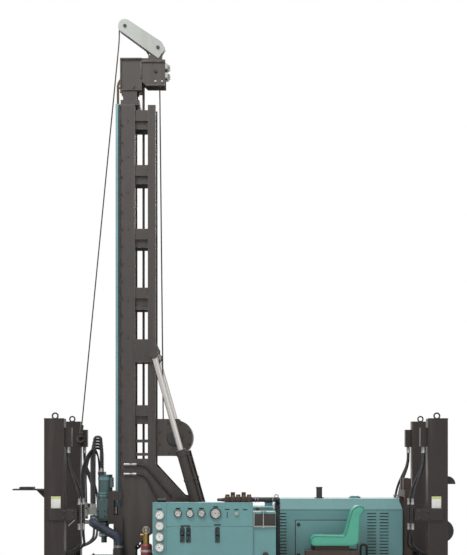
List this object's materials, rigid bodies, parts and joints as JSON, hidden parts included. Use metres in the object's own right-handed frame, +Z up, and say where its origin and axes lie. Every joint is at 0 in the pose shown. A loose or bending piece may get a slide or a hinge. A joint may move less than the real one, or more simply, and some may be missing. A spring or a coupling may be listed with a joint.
{
  "type": "crawler-mounted water well drilling rig",
  "caption": "Compact crawler drilling rig: upright mast with rotary head, jib and winch, jack legs, control box, seat and engine hood on steel tracks.",
  "frame": {"origin": "middle of the footprint, on the ground under the tracks", "axes": "+X from the mast to the engine end, +Y to the far side, away from the operator's seat, +Z up"},
  "size_m": [4.441, 1.88, 6.386],
  "materials": {
    "frame_dark": "satin",
    "teal_paint": "satin",
    "jib_grey": "satin",
    "base_brown": "satin",
    "track_steel": "worn",
    "chain_steel": "oily",
    "rod_chrome": "polished",
    "galvanised": "matte",
    "engine_iron": "matte",
    "gauge_rim": "polished",
    "seat_vinyl": "satin",
    "hose_rubber": "matte",
    "rope_steel": "greased",
    "bottle_red": "gloss"
  },
  "bodies": {
    "chassis": {"track_near": "track_steel", "track_far": "track_steel", "track_sprockets": "track_steel", "track_frames": "frame_dark", "chassis_frame": "frame_dark", "fenders": "base_brown", "leg_housings": "frame_dark", "chassis_hoses": "hose_rubber", "engine": "engine_iron", "hood": "teal_paint", "control_box": "teal_paint", "controls": "gauge_rim", "top_valves": "base_brown", "oil_bottle": "bottle_red", "seat_base": "base_brown", "seat_cushion": "seat_vinyl", "tanks": "teal_paint", "mast_rest": "base_brown", "leg_fittings": "frame_dark"},
    "leg_ram_front_near": {"leg_ram_front_near": "frame_dark"},
    "leg_ram_front_far": {"leg_ram_front_far": "frame_dark"},
    "leg_ram_rear_near": {"leg_ram_rear_near": "frame_dark"},
    "leg_ram_rear_far": {"leg_ram_rear_far": "frame_dark"},
    "mast": {"mast_frame": "frame_dark", "chain_cover": "teal_paint", "feed_chain": "chain_steel", "crown": "frame_dark", "rope_pulleys": "galvanised", "jib": "jib_grey", "hoist_rope": "rope_steel", "winch_housing": "frame_dark", "rod_clamp": "frame_dark", "mast_hoses": "hose_rubber"},
    "chain_wheel_top": {"chain_wheel_top": "chain_steel"},
    "chain_wheel_low": {"chain_wheel_low": "chain_steel"},
    "winch_drum": {"winch_drum": "galvanised"},
    "cylinder_barrels": {"cylinder_barrels": "frame_dark"},
    "cylinder_rods": {"cylinder_rods": "rod_chrome"},
    "head": {"head_carriage": "frame_dark", "head_gearbox": "teal_paint", "head_motors": "teal_paint", "head_hoses": "hose_rubber", "head_fittings": "galvanised"},
    "spindle": {"spindle": "teal_paint"},
    "hood_door": {"hood_door": "teal_paint"}
  },
  "joints": [
    {"name": "mast_tilt", "type": "hinge", "parent": "chassis", "child": "mast", "pos_m": [-0.5445, 0, 1.28], "axis": [0, 1, 0], "range_deg": [0, 90]},
    {"name": "barrel_swing", "type": "hinge", "parent": "chassis", "child": "cylinder_barrels", "pos_m": [-0.2075, 0, 0.6], "axis": [0, 1, 0], "range_deg": [0, 67.66]},
    {"name": "rod_slide", "type": "slide", "parent": "cylinder_barrels", "child": "cylinder_rods", "axis": [-0.2707, 0, 0.9627], "range_m": [-0.7689, 0]},
    {"name": "head_feed", "type": "slide", "parent": "mast", "child": "head", "axis": [0, 0, 1], "range_m": [0, 3.3]},
    {"name": "spindle_spin", "type": "hinge", "parent": "head", "child": "spindle", "pos_m": [-1.3835, 0, 1], "axis": [0, 0, 1], "continuous": true},
    {"name": "chain_wheel_top_spin", "type": "hinge", "parent": "mast", "child": "chain_wheel_top", "pos_m": [-1.1015, 0, 5.668], "axis": [0, 1, 0], "continuous": true},
    {"name": "chain_wheel_low_spin", "type": "hinge", "parent": "mast", "child": "chain_wheel_low", "pos_m": [-1.1015, 0, 0.93], "axis": [0, 1, 0], "continuous": true},
    {"name": "winch_drum_spin", "type": "hinge", "parent": "mast", "child": "winch_drum", "pos_m": [-0.6315, 0, 1.977], "axis": [0, 1, 0], "continuous": true},
    {"name": "hood_door_swing", "type": "hinge", "parent": "chassis", "child": "hood_door", "pos_m": [1.2565, 0.36, 0.92], "axis": [0, 0, -1], "range_deg": [0, 95]},
    {"name": "leg_front_near_jack", "type": "slide", "parent": "chassis", "child": "leg_ram_front_near", "axis": [0, 0, -1], "range_m": [0, 1.4]},
    {"name": "leg_front_far_jack", "type": "slide", "parent": "chassis", "child": "leg_ram_front_far", "axis": [0, 0, -1], "range_m": [0, 1.4]},
    {"name": "leg_rear_near_jack", "type": "slide", "parent": "chassis", "child": "leg_ram_rear_near", "axis": [0, 0, -1], "range_m": [0, 1.4]},
    {"name": "leg_rear_far_jack", "type": "slide", "parent": "chassis", "child": "leg_ram_rear_far", "axis": [0, 0, -1], "range_m": [0, 1.4]}
  ],
  "couplings": [
    {"joint": "barrel_swing", "follows": "mast_tilt", "ratio": 0.74622},
    {"joint": "rod_slide", "follows": "mast_tilt", "m_per_rad": -0.4863},
    {"joint": "chain_wheel_low_spin", "follows": "chain_wheel_top_spin", "ratio": 1}
  ]
}
